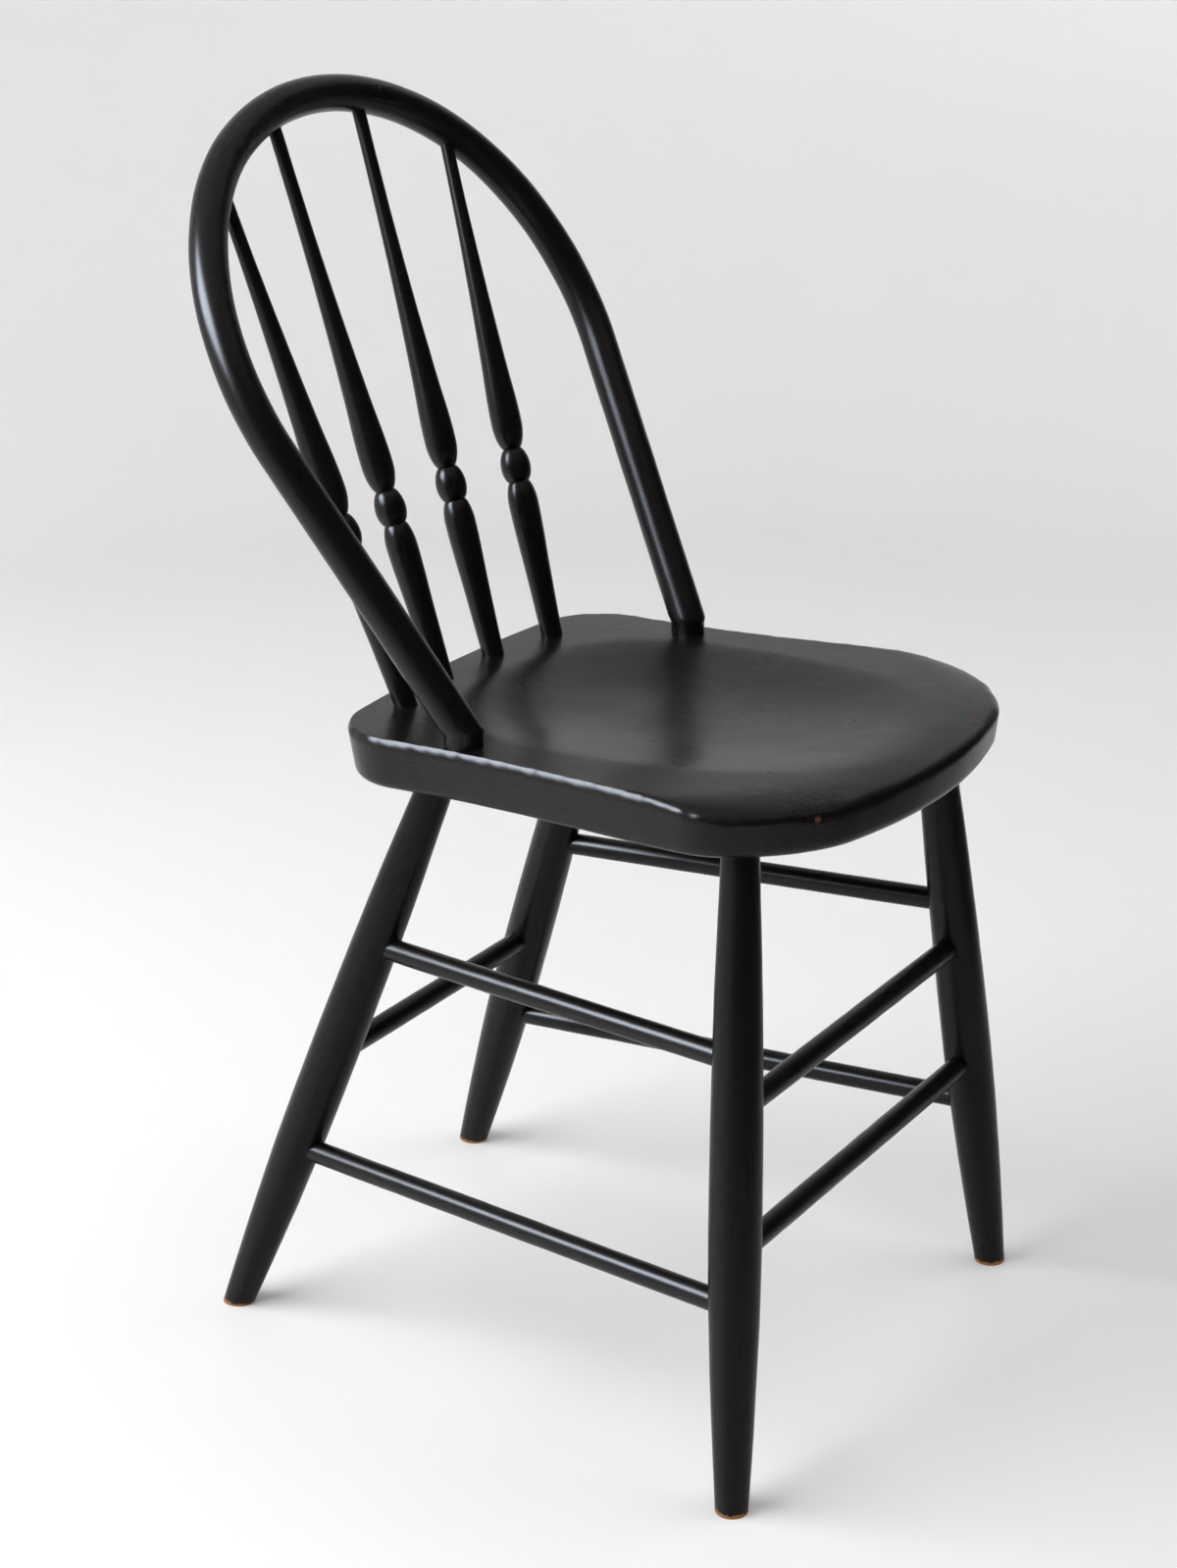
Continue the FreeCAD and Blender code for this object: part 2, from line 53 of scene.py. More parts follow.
import bpy
import numpy as np
from bpy.props import FloatProperty, FloatVectorProperty, IntProperty, PointerProperty
from mathutils import Matrix, Vector

SIDES = {"right": -1, "left": 1}

# How far a turned piece runs on, out of sight, into the piece that holds it
BURIED = 0.008


def length(default, description):
    """A size in metres."""
    return FloatProperty, dict(default=default, description=description, unit="LENGTH", precision=4)


def place(default, description):
    """A point, or two sizes that go together, in metres."""
    keywords = dict(default=default, description=description, size=len(default), subtype="XYZ", precision=4)
    return FloatVectorProperty, keywords


def station(height, diameter, thing):
    """A place on a turned piece, in metres."""
    description = f"Height and diameter of the {thing}"
    return FloatVectorProperty, dict(
        default=(height, diameter), description=description, size=2, unit="LENGTH", precision=4
    )


def angle(degrees, description):
    return FloatProperty, dict(default=math.radians(degrees), description=description, subtype="ANGLE")


def number(default, description, **more):
    return FloatProperty, dict(default=default, description=description, **more)


def fraction(default, description):
    return number(default, description, min=0, max=1, subtype="FACTOR")


def whole(default, description):
    return IntProperty, dict(default=default, description=description, min=1)


def colour(default, description):
    keywords = dict(default=default, description=description, size=3, subtype="COLOR", min=0, max=1)
    return FloatVectorProperty, keywords


def labelled(group):
    """Make a group's properties, each named after its attribute: front_y becomes Front Y."""
    for attribute, (kind, keywords) in group.__annotations__.items():
        group.__annotations__[attribute] = kind(name=attribute.replace("_", " ").title(), **keywords)
    return group


# Settings

@labelled
class SeatSettings(bpy.types.PropertyGroup):
    """The plank seat, its hollow and its edges."""

    height: length(0.458, "Height of the rim at the middle of the chair")
    slope: angle(1.8, "Fall towards the back")
    thickness: length(0.036, "Thickness of the plank")
    front_y: length(-0.2485, "Middle of the front edge")
    back_y: length(0.1375, "Middle of the back edge")
    front_corner: place((0.171, -0.209), "Left front corner, before it is rounded")
    thigh: place((0.168, -0.130), "Left side at the thigh")
    waist: place((0.1565, 0.006), "Left side at the waist")
    rear_corner: place((0.162, 0.126), "Left rear corner, before it is rounded")
    front_corner_radius: length(0.075, "Rounding of the front corners")
    rear_corner_radius: length(0.055, "Rounding of the rear corners")
    undercut: length(0.005, "How far the lower edge stands in from the rim")
    edge_wear: fraction(0.22, "How unevenly the top edge is rounded")
    edge_flatness: fraction(0.75, "How flat the worn side arris is")
    edge_steepness: fraction(0.4, "How steep the worn side arris is")
    nick: place((-0.0947, -0.1702, 0.4631), "A small dent in the top")
    left_chip: place((0.0747, -0.2270, 0.4614), "A chip in the paint by the left front corner")
    right_chip: place((-0.1245, -0.2199, 0.4530), "A chip in the paint by the right front corner")
    warp: length(0.005, "How far the left front corner has risen")
    top_edge: length(0.0048, "Rounding of the upper arris at the sides and the back")
    front_top_edge: length(0.0075, "Rounding of the upper arris in front")
    bottom_edge: length(0.006, "Rounding of the lower edge at the sides and the back")
    front_bottom_edge: length(0.009, "Rounding of the lower edge in front")
    saddle_depth: length(0.012, "Depth of the hollow")
    saddle_middle_y: length(-0.020, "Deepest place of the hollow")
    saddle_half_width: length(0.124, "Half width of the hollow")
    saddle_front_reach: length(0.205, "Reach of the hollow to the front")
    saddle_rear_reach: length(0.114, "Reach of the hollow to the back")
    saddle_squareness: number(2.4, "How square the hollow is")
    saddle_softness: number(1.5, "How softly the hollow fades")
    roll_width: length(0.060, "Width of the rolled front edge")
    roll_drop: length(0.008, "Fall of the rolled front edge")
    roll_softness: number(2.5, "How softly the roll begins")
    edge_change_y: length(-0.085, "Where the sides' edges start to change to the front's")
    roll_corner_share: fraction(0.9, "How far round the front corners the roll is drawn back")
    roll_corner_rise: length(0.002, "How much less the roll falls at the front corners")
    rings: whole(60, "Rings of faces from the middle to the rim")
    edge_rings: whole(8, "Rings of faces that round an edge")
    courses: whole(8, "Courses of faces from the top to the underside")


@labelled
class LegSettings(bpy.types.PropertyGroup):
    """The four turned legs."""

    front_top: place((0.1313, -0.1698), "Left front leg at the seat's underside, on the seat")
    front_foot: place((0.1904, -0.2064), "Left front leg on the floor")
    rear_top: place((0.0943, 0.0758), "Left rear leg at the seat's underside, on the seat")
    rear_foot: place((0.1490, 0.2228), "Left rear leg on the floor")
    foot_diameter: length(0.022, "Diameter at the floor")
    ankle: station(0.075, 0.0292, "ankle")
    belly: station(0.185, 0.0344, "belly")
    neck_diameter: length(0.0304, "Diameter at the neck")
    neck_below_seat: length(0.092, "How far below the seat the neck is")
    top_diameter: length(0.024, "Diameter at the seat")
    foot_edge: length(0.0012, "Rounding of the foot's rim")
    sides: whole(56, "Faces round a leg")


@labelled
class StretcherSettings(bpy.types.PropertyGroup):
    """The seven stretchers."""

    diameter: length(0.016, "Diameter of a stretcher")
    side_upper: place((0.2934, 0.2867), "Heights of an upper side stretcher at its front and rear leg")
    side_lower: place((0.1347, 0.1285), "Heights of a lower side stretcher at its front and rear leg")
    front_upper: length(0.2610, "Height of the upper front stretcher")
    front_lower: length(0.1687, "Height of the lower front stretcher")
    rear: length(0.2001, "Height of the rear stretcher")
    axis_gap: length(0.003, "How far short of the legs' axes a stretcher ends")
    ring_gap: length(0.006, "Distance between rings of faces along a stretcher")
    sides: whole(36, "Faces round a stretcher")


@labelled
class BowSettings(bpy.types.PropertyGroup):
    """The bent bow."""

    diameter: length(0.025, "Diameter of the bow")
    foot: place((0.128, 0.0022), "Left end of the bow at the seat's underside, on the seat")
    crown_height: length(0.8306, "Height of the crown's middle")
    tilt: angle(30.3, "Lean of the bow's plane from upright")
    crown_radius: length(0.213, "Radius of the crown's arc")
    crown_half_angle: angle(25.9, "Half the turn of the crown's arc")
    shoulder_radius: length(0.1747, "Radius of each shoulder's arc")
    neck_height: length(0.009, "How far the necks at its feet stand up from the seat")
    neck_share: fraction(0.9, "Width of a neck, as a share of the bow's")
    neck_shoulder: length(0.003, "Height in which a neck widens to the bow")
    proud_end: length(0.0004, "How far the painted ends stand below the seat's underside")
    sides: whole(48, "Faces round the bow")
    straight_rings: whole(120, "Rings of faces along a straight end")
    shoulder_rings: whole(30, "Rings of faces round a shoulder")
    crown_rings: whole(20, "Rings of faces round the crown")


@labelled
class SpindleSettings(bpy.types.PropertyGroup):
    """The four turned spindles. Their heights are over the seat, along the spindle."""

    outer_foot: place((0.0890, 0.1080), "Left outer spindle on the seat")
    outer_top_x: length(0.1244, "How far out the outer spindles meet the bow")
    inner_foot: place((0.0308, 0.1189), "Left inner spindle on the seat")
    inner_top_x: length(0.0467, "How far out the inner spindles meet the bow")
    foot_diameter: length(0.0152, "Diameter at the seat")
    shin: station(0.045, 0.0180, "shin")
    vase: station(0.094, 0.0214, "vase")
    lower_groove: station(0.1095, 0.0174, "groove under the bead")
    bead: station(0.120, 0.0214, "bead")
    upper_groove: station(0.133, 0.0154, "groove over the bead")
    shoulder: station(0.151, 0.0218, "shoulder")
    waist: station(0.201, 0.0171, "waist")
    taper: station(0.249, 0.0132, "taper")
    top_diameter: length(0.0092, "Diameter at the bow")
    fullness: fraction(0.66, "How square the turned swells are")
    groove_cut: length(0.0015, "How much deeper the narrow bottom of a groove is")
    sides: whole(40, "Faces round a spindle")


@labelled
class PaintSettings(bpy.types.PropertyGroup):
    """The finish."""

    black: colour((0.0036, 0.0027, 0.0023), "The paint")
    rubbed: colour((0.034, 0.014, 0.009), "Paint rubbed thin over the undercoat")
    undercoat: colour((0.13, 0.045, 0.022), "Undercoat laid bare by a chip")
    wood: colour((0.30, 0.145, 0.055), "Wood laid bare by wear")
    hidden_wood: colour((0.52, 0.36, 0.20), "Wood inside the joints")
    roughness: fraction(0.285, "How dull the paint is")
    specular: fraction(0.19, "How strongly the paint mirrors")
    wobble: length(0.0004, "How far hand work cuts in from a true surface, at most")


@labelled
class StageSettings(bpy.types.PropertyGroup):
    """The floor, the light and the camera."""

    floor: colour((0.665, 0.656, 0.648), "The floor and the backdrop")
    floor_roughness: fraction(0.5, "How dull the floor is")
    flat_radius: length(1.9, "Radius of the flat floor")
    sweep_radius: length(0.8, "Radius of the sweep from the floor to the backdrop")
    wall_height: length(2.6, "Height of the backdrop")
    window_place: place((-1.42, 1.27, 1.70), "Middle of the window")
    window_size: place((2.3, 1.5), "Width and height of the daylight that falls on the floor")
    window_colour: colour((0.955, 0.967, 1.0), "Colour of the window light")
    window_power: number(91, "Power of the daylight", unit="POWER")
    pane_place: place((-1.53, 1.08, 1.55), "Middle of the bright pane that the paint mirrors")
    pane_size: place((1.45, 0.95), "Width and height of the bright pane")
    pane_colour: colour((0.80, 0.87, 1.0), "Colour of the bright pane")
    pane_power: number(190, "Power of the bright pane", unit="POWER")
    ceiling_place: place((0.7, -0.9, 3.0), "Middle of the soft light overhead")
    ceiling_size: place((3.6, 3.6), "Width and length of the soft light overhead")
    ceiling_colour: colour((1.0, 1.0, 1.0), "Colour of the soft light overhead")
    ceiling_power: number(196, "Power of the soft light overhead", unit="POWER")
    fill: number(0.05, "Strength of the light from all round")
    # Painted shade: this dark colour goes on two sheets that only reflections show. They stand in for the
    # shaded floor and the unlit side of the room, and the settings below place them.
    dark: colour((0.02, 0.02, 0.02), "The dark side of the room")
    reflected_shade_radius: length(2.2, "Distance of the dark curtain")
    room_shade_azimuth: angle(-4, "Turn from the chair's front to the dark curtain's middle")
    room_shade_start: length(0.2, "How far towards its middle the curtain's two ends stand")
    room_shade_height: length(3.0, "Height of the dark curtain")
    floor_shade_azimuth: angle(19, "Turn from the chair's front to the dark floor's middle")
    floor_shade_start: length(0.88, "How far from the chair the dark floor starts")
    floor_shade_height: length(0.002, "How far the dark floor lies over the pale one")
    target: place((0.000425, 0.0215, 0.387069), "The point that the camera looks at")
    azimuth: angle(-57.772, "Turn of the camera round the chair")
    elevation: angle(20.774, "Rise of the camera")
    distance: length(2.111386, "Distance of the camera from its target")
    lens: number(71.54, "Focal length in millimetres", unit="CAMERA")
    film_height: number(36, "Height of the camera's sensor in millimetres", unit="CAMERA")


def settings_of(group):
    return getattr(bpy.context.scene, "windsor_" + group)


# The chair's lines

def seat_matrix():
    """From the level seat, with its rim at height 0, to its place on the slope."""
    seat = settings_of("seat")
    return Matrix.Translation((0, 0, seat.height)) @ Matrix.Rotation(-seat.slope, 4, "X")


def on_seat(x, y, depth=0.0):
    return seat_matrix() @ Vector((x, y, -depth))


def leg_line(end, side):
    """A leg's axis, from the floor to the seat's underside."""
    legs = settings_of("legs")
    foot = getattr(legs, end + "_foot")
    top = getattr(legs, end + "_top")
    sign = SIDES[side]
    return Vector((sign * foot.x, foot.y, 0)), on_seat(sign * top.x, top.y, settings_of("seat").thickness)


def on_leg(end, side, height):
    foot, top = leg_line(end, side)
    return foot.lerp(top, height / top.z)


def stretcher_lines():
    """Each stretcher's two ends, on its legs' axes."""
    stretchers = settings_of("stretchers")
    lines = {}
    for side in SIDES:
        for level in ("upper", "lower"):
            front, rear = getattr(stretchers, "side_" + level)
            lines[f"{side}_{level}_stretcher"] = (on_leg("front", side, front), on_leg("rear", side, rear))
    for name in ("front_upper", "front_lower", "rear"):
        end = name.split("_")[0]
        height = getattr(stretchers, name)
        lines[name + "_stretcher"] = (on_leg(end, "right", height), on_leg(end, "left", height))
    return lines


def bow_foot(side):
    foot = settings_of("bow").foot
    return on_seat(SIDES[side] * foot.x, foot.y, settings_of("seat").thickness)


def bow_matrix():
    """From the bow's own plane, with the crown at the origin and Z up the plane, to its place."""
    bow = settings_of("bow")
    foot = bow_foot("left")
    crown_y = foot.y + (bow.crown_height - foot.z) * math.tan(bow.tilt)
    return Matrix.Translation((0, crown_y, bow.crown_height)) @ Matrix.Rotation(-bow.tilt, 4, "X")


def shoulder_centre(bow):
    """The left shoulder's centre in the bow's plane, as X and Z."""
    reach = bow.crown_radius - bow.shoulder_radius
    return reach * math.sin(bow.crown_half_angle), reach * math.cos(bow.crown_half_angle) - bow.crown_radius


def shoulder_end(bow):
    """Where the left shoulder ends in the bow's plane, as X and Z, and its turn from the crown's middle."""
    centre_x, centre_z = shoulder_centre(bow)
    foot = bow_matrix().inverted() @ bow_foot("left")
    across, up = foot.x - centre_x, foot.z - centre_z
    turn = math.atan2(across, up) - math.acos(bow.shoulder_radius / math.hypot(across, up))
    x = centre_x + bow.shoulder_radius * math.sin(turn)
    z = centre_z + bow.shoulder_radius * math.cos(turn)
    return x, z, turn


def bow_centre_line(x):
    """The bow's centre line over its spindles, at a distance from the middle."""
    bow = settings_of("bow")
    if abs(x) <= bow.crown_radius * math.sin(bow.crown_half_angle):
        z = math.sqrt(bow.crown_radius ** 2 - x ** 2) - bow.crown_radius
    else:
        centre_x, centre_z = shoulder_centre(bow)
        z = centre_z + math.sqrt(bow.shoulder_radius ** 2 - (abs(x) - centre_x) ** 2)
    return bow_matrix() @ Vector((x, 0, z))


def spindle_line(row, side):
    """A spindle's axis, from the seat's top to the bow's centre line."""
    spindles = settings_of("spindles")
    foot = getattr(spindles, row + "_foot")
    sign = SIDES[side]
    return on_seat(sign * foot.x, foot.y), bow_centre_line(sign * getattr(spindles, row + "_top_x"))


# Profiles of turned pieces, as heights and radii

def flowing(points, crests, step=0.006):
    """Stations of a smooth line through the points, level at each crest."""
    points = np.array(points)
    heights, radii = points[:, 0], points[:, 1] / 2
    slopes = np.gradient(radii, heights)
    for crest in crests:
        slopes[np.isclose(heights, crest)] = 0
    stations = []
    for i in range(len(points) - 1):
        run = heights[i + 1] - heights[i]
        count = max(2, round(run / step))
        for t in np.arange(count) / count:
            value = (
                (2 * t ** 3 - 3 * t ** 2 + 1) * radii[i] + (t ** 3 - 2 * t ** 2 + t) * run * slopes[i]
                + (3 * t ** 2 - 2 * t ** 3) * radii[i + 1] + (t ** 3 - t ** 2) * run * slopes[i + 1]
            )
            stations.append((heights[i] + run * t, value))
    stations.append((heights[-1], radii[-1]))
    return stations


def swell(crest, groove, fullness, count=12):
    """Stations from a crest, level at first, down into a groove. Fullness 1 makes a quarter ellipse."""
    fall = (crest[1] - groove[1]) / 2
    run = groove[0] - crest[0]
    stations = []
    for i in range(count):
        turn = math.pi / 2 * i / count
        radius = groove[1] / 2 + fall * math.cos(turn) ** (1 / fullness)
        stations.append((crest[0] + run * math.sin(turn), radius))
    return stations + [(groove[0], groove[1] / 2)]


def spindle_profile(span):
    """A spindle's stations, from inside the seat to inside the bow."""
    spindles = settings_of("spindles")
    vase, bead, shoulder = tuple(spindles.vase), tuple(spindles.bead), tuple(spindles.shoulder)
    lower, upper = (
        (height, diameter - 2 * spindles.groove_cut)
        for height, diameter in (spindles.lower_groove, spindles.upper_groove)
    )
    at_bow = span - settings_of("bow").diameter / 2
    rise = [(0, spindles.foot_diameter), tuple(spindles.shin), vase]
    fall = [shoulder, tuple(spindles.waist), tuple(spindles.taper), (at_bow, spindles.top_diameter)]
    stations = [(-BURIED, spindles.foot_diameter / 2)]
    stations += flowing(rise, [vase[0]])
    stations += swell(vase, lower, spindles.fullness)[1:]
    stations += swell(bead, lower, spindles.fullness)[-2::-1]
    stations += swell(bead, upper, spindles.fullness)[1:]
    stations += swell(shoulder, upper, spindles.fullness)[-2::-1]
    stations += flowing(fall, [shoulder[0], at_bow])[1:]
    stations.append((at_bow + BURIED, spindles.top_diameter / 2))
    return stations


def leg_profile(span):
    """A leg's stations, from under the floor to inside the seat."""
    legs = settings_of("legs")
    ankle, belly = tuple(legs.ankle), tuple(legs.belly)
    stub = legs.foot_diameter
    flare = (ankle[1] - legs.foot_diameter) / ankle[0]
    points = [
        (-stub, legs.foot_diameter - flare * stub),
        (0, legs.foot_diameter),
        ankle,
        belly,
        (span - legs.neck_below_seat, legs.neck_diameter),
        (span, legs.top_diameter),
    ]
    return flowing(points, [belly[0]]) + [(span + BURIED, legs.top_diameter / 2)]


def stretcher_profile(span):
    stretchers = settings_of("stretchers")
    visible = span - 2 * stretchers.axis_gap
    count = round(visible / stretchers.ring_gap)
    return [(stretchers.axis_gap + visible * k / count, stretchers.diameter / 2) for k in range(count + 1)]


# Modelling

def activate(piece):
    """Make a piece the only selected object and the active one."""
    bpy.ops.object.select_all(action="DESELECT")
    piece.select_set(True)
    bpy.context.view_layer.objects.active = piece


def start(operator, **settings):
    """Add a primitive by itself, and go on with it in edit mode."""
    bpy.ops.object.select_all(action="DESELECT")
    operator(**settings)
    piece = bpy.context.active_object
    bpy.ops.object.mode_set(mode="EDIT")
    return piece


def start_disc(sides, radius, **place_settings):
    return start(
        bpy.ops.mesh.primitive_circle_add, vertices=sides, radius=radius, fill_type="NGON", **place_settings
    )


def select_rim(piece, height):
    """In edit mode, select only the edges that bound the flat faces at a height."""
    bpy.ops.mesh.select_all(action="DESELECT")
    bpy.ops.object.mode_set(mode="OBJECT")
    mesh = piece.data
    near = 1e-5
    uses = {}
    for polygon in mesh.polygons:
        if all(abs(mesh.vertices[i].co.z - height) < near for i in polygon.vertices):
            for key in polygon.edge_keys:
                uses[key] = uses.get(key, 0) + 1
    for edge in mesh.edges:
        edge.select = uses.get(tuple(sorted(edge.vertices))) == 1
    bpy.ops.object.mode_set(mode="EDIT")
    bpy.ops.mesh.select_mode(type="EDGE")


def extrude(offset):
    """In edit mode, draw the selection out to its next place."""
    bpy.ops.mesh.extrude_region_move(TRANSFORM_OT_translate={"value": tuple(offset)})


def grow(height, radius, stations):
    """In edit mode, draw the selected ring up through stations, given as heights and radii."""
    for next_height, next_radius in stations:
        extrude((0, 0, next_height - height))
        ratio = next_radius / radius
        bpy.ops.transform.resize(value=(ratio, ratio, 1), center_override=(0, 0, next_height))
        height, radius = next_height, next_radius


def end_edit(inside=False):
    """Turn all faces outwards, or inwards, and go back to object mode."""
    bpy.ops.mesh.select_all(action="SELECT")
    bpy.ops.mesh.normals_make_consistent(inside=inside)
    bpy.ops.object.mode_set(mode="OBJECT")


def rename(piece, name):
    piece.name = name
    piece.data.name = name


def apply_place(piece, matrix):
    piece.matrix_world = matrix
    activate(piece)
    bpy.ops.object.transform_apply(location=True, rotation=True, scale=True)


def turn_on_lathe(name, stations, sides):
    """An upright solid of revolution, grown ring by ring from its lowest station."""
    height, radius = stations[0]
    piece = start_disc(sides, radius, location=(0, 0, height))
    grow(height, radius, stations[1:])
    end_edit()
    rename(piece, name)
    apply_place(piece, piece.matrix_world.copy())
    return piece


def coordinates(mesh):
    found = np.empty(len(mesh.vertices) * 3)
    mesh.vertices.foreach_get("co", found)
    return found.reshape(-1, 3)


def move_vertices(mesh, points):
    mesh.vertices.foreach_set("co", np.asarray(points, dtype=np.float32).ravel())
    mesh.update()


def lay_grain(piece, points, offset=(0, 0, 0)):
    """Keep each vertex's place in the straight piece, for the paint to follow: Z runs along the wood."""
    attribute = piece.data.attributes.new("grain", "FLOAT_VECTOR", "POINT")
    attribute.data.foreach_set("vector", (np.asarray(points) + offset).astype(np.float32).ravel())


def roughen(piece, amount, size):
    """Cut the slight waviness of hand work into a true surface."""
    texture = bpy.data.textures.new("hand_work", "CLOUDS")
    texture.noise_scale = size
    texture.noise_depth = 1
    modifier = piece.modifiers.new("Displace", "DISPLACE")
    modifier.texture = texture
    modifier.texture_coords = "LOCAL"
    modifier.strength = amount
    modifier.mid_level = 1.0
    activate(piece)
    bpy.ops.object.modifier_apply(modifier=modifier.name)


def line_matrix(start_point, end_point):
    """Put an upright piece's foot on the first point and its axis through the second."""
    turn = (end_point - start_point).to_track_quat("Z", "Y").to_matrix().to_4x4()
    return Matrix.Translation(start_point) @ turn


def turned_pairs(kind, rows, line, profile, wobble, wave_size, grain_shift):
    """Turn each row's right piece and copy it for the left. Yield each in its place, with its node's name."""
    sides = settings_of(kind + "s").sides
    for k, row in enumerate(rows):
        foot, top = line(row, "right")
        right = turn_on_lathe(f"painted_{row}_{kind}_right", profile((top - foot).length), sides)
        left = right.copy()
        left.data = right.data.copy()
        rename(left, f"painted_{row}_{kind}_left")
        bpy.context.scene.collection.objects.link(left)
        for i, (side, piece) in enumerate(zip(SIDES, (right, left))):
            roughen(piece, wobble, wave_size)
            lay_grain(piece, coordinates(piece.data), (grain_shift[0] * i, grain_shift[1] * k, 0))
            apply_place(piece, line_matrix(*line(row, side)))
            yield piece, f"{row}_{kind}_{side}"


def hand_over(piece, material, slot_name, *nodes):
    """Shade and paint the finished piece, and hand it to the frame."""
    smooth_edges = math.radians(50)
    activate(piece)
    bpy.ops.object.shade_smooth_by_angle(angle=smooth_edges)
    piece.data.materials.clear()
    piece.data.materials.append(material)
    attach(piece, "root")
    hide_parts(*nodes)


# Finishes

class Link:
    """A varying value in a finish. Python's arithmetic on it adds Math nodes."""

    def __init__(self, finish, socket):
        self.finish = finish
        self.socket = socket

    def math(self, operation, other):
        return self.finish.node("ShaderNodeMath", {"operation": operation}, {0: self, 1: other})

    def __add__(self, other):
        return self.math("ADD", other)

    def __sub__(self, other):
        return self.math("SUBTRACT", other)

    def __mul__(self, other):
        return self.math("MULTIPLY", other)

    __radd__ = __add__

    def swing(self, amount):
        """A value that goes from 0 to 1, made to swing by half the amount to either side of 0."""
        return (self - 0.5) * amount

    def between(self, low, high):
        """0 below low, 1 above high, and smooth between them. Low may be the larger."""
        return self.finish.node(
            "ShaderNodeMapRange",
            {"interpolation_type": "SMOOTHSTEP"},
            {"Value": self, "From Min": low, "From Max": high},
        )


class Finish:
    """A material, and the nodes that make it."""

    def __init__(self, name):
        self.material = bpy.data.materials.new(name)
        self.material.use_nodes = True
        self.tree = self.material.node_tree
        self.shader = self.tree.nodes["Principled BSDF"]

    def put(self, socket, value):
        if isinstance(value, Link):
            self.tree.links.new(value.socket, socket)
        else:
            socket.default_value = value

    def node(self, kind, settings=None, inputs=None, output=0):
        """One node: its settings first, then the values or links of its sockets."""
        made = self.tree.nodes.new(kind)
        for key, value in (settings or {}).items():
            setattr(made, key, value)
        for key, value in (inputs or {}).items():
            self.put(made.inputs[key], value)
        return Link(self, made.outputs[output])

    def set(self, **sockets):
        for name, value in sockets.items():
            self.put(self.shader.inputs[name.replace("_", " ").title().replace("Ior", "IOR")], value)

    def place_in_chair(self):
        return self.node("ShaderNodeTexCoord", output="Object")

    def grain(self, stretch):
        """The piece's own straight coordinates. A small stretch draws the pattern out along the wood."""
        place_in_piece = self.node("ShaderNodeAttribute", {"attribute_name": "grain"}, output="Vector")
        return self.node(
            "ShaderNodeVectorMath", {"operation": "MULTIPLY"}, {0: place_in_piece, 1: (1, 1, stretch)}
        )

    def noise(self, place_in_piece, scale, detail=2.0, roughness=0.5):
        return self.node(
            "ShaderNodeTexNoise",
            inputs={"Vector": place_in_piece, "Scale": scale, "Detail": detail, "Roughness": roughness},
        )

    def mix(self, factor, first, second):
        """Two colours, mixed by a varying factor."""
        inputs = {"Factor": factor, 6: first, 7: second}
        return self.node("ShaderNodeMix", {"data_type": "RGBA"}, inputs, output=2)

    def spot(self, place_in_chair, middle, radius, ragged):
        """1 within a ragged spot round a place, and 0 outside it."""
        inputs = {0: place_in_chair, 1: tuple(middle)}
        away = self.node("ShaderNodeVectorMath", {"operation": "DISTANCE"}, inputs, output="Value")
        return (away + ragged.swing(radius)).between(radius, radius / 2)

    def bump(self, height, distance):
        return self.node("ShaderNodeBump", inputs={"Height": height, "Distance": distance, "Strength": 1.0})


def rgba(value):
    return (*value, 1.0)


# Sizes of marks in the paint, in metres. Foot wear starts at its first height and is complete at its second.
CHIP_RADIUS = 0.0026
NICK_RADIUS = 0.0024
FOOT_WEAR = (0.0032, 0.0014)
FOOT_WEAR_RAGGEDNESS = 0.012

# The paint gets thin where its noise goes from the first of these values to the second
RUBBED = (0.75, 0.84)

# How much of what lies under the paint a mark shows, and how much each pattern or mark changes the roughness
MARK_COLOUR = {"rubbed": 0.35, "chip": 0.5, "foot": 0.7}
ROUGHENING = {"cloud": 0.06, "brush": 0.05, "rubbed": 0.08, "chip": 0.25, "foot": 0.3}

# How strongly each pattern or mark stands in the relief, and how high a relief of 1 is in metres
RELIEF = {"brush": 0.2, "peel": 0.3, "nick": 14.0}
RELIEF_HEIGHT = 0.00006


def satin_black(name, worn_feet=False, gloss=1.0, dent_relief=0.1, chips=(), nicks=()):
    """Black paint with brush lines along the wood, a fine orange peel, dents, rubbed places and marks."""
    paint = settings_of("paint")
    coat = Finish(name)
    even = coat.grain(stretch=1.0)
    brush = coat.noise(coat.grain(stretch=0.05), scale=900.0, detail=3.0)
    peel = coat.noise(even, scale=420.0)
    cloud = coat.noise(even, scale=22.0, detail=4.0)
    dents = coat.noise(even, scale=95.0, detail=3.0)
    rub = coat.noise(coat.grain(stretch=0.3), scale=70.0, detail=6.0, roughness=0.7)
    rubbed = rub.between(*RUBBED)
    tint = coat.mix(rubbed * MARK_COLOUR["rubbed"], rgba(paint.black), rgba(paint.rubbed))
    roughness = paint.roughness + cloud.swing(ROUGHENING["cloud"]) + brush.swing(ROUGHENING["brush"])
    roughness = roughness + rubbed * ROUGHENING["rubbed"]
    relief = brush * RELIEF["brush"] + peel * RELIEF["peel"] + dents * dent_relief
    place_in_chair = coat.place_in_chair()
    marks = [("chip", coat.spot(place_in_chair, chip, CHIP_RADIUS, rub), paint.undercoat) for chip in chips]
    if worn_feet:
        height = coat.node("ShaderNodeSeparateXYZ", inputs={0: place_in_chair}, output="Z")
        worn = (height + rub.swing(FOOT_WEAR_RAGGEDNESS)).between(*FOOT_WEAR)
        marks.append(("foot", worn, paint.wood))
    for kind, bare, under in marks:
        tint = coat.mix(bare * MARK_COLOUR[kind], tint, rgba(under))
        roughness = roughness + bare * ROUGHENING[kind]
    for nick in nicks:
        relief = relief - coat.spot(place_in_chair, nick, NICK_RADIUS, rub) * RELIEF["nick"]
    coat.set(base_color=tint, roughness=roughness, specular_ior_level=paint.specular * gloss)
    coat.set(normal=coat.bump(relief, RELIEF_HEIGHT))
    return coat.material


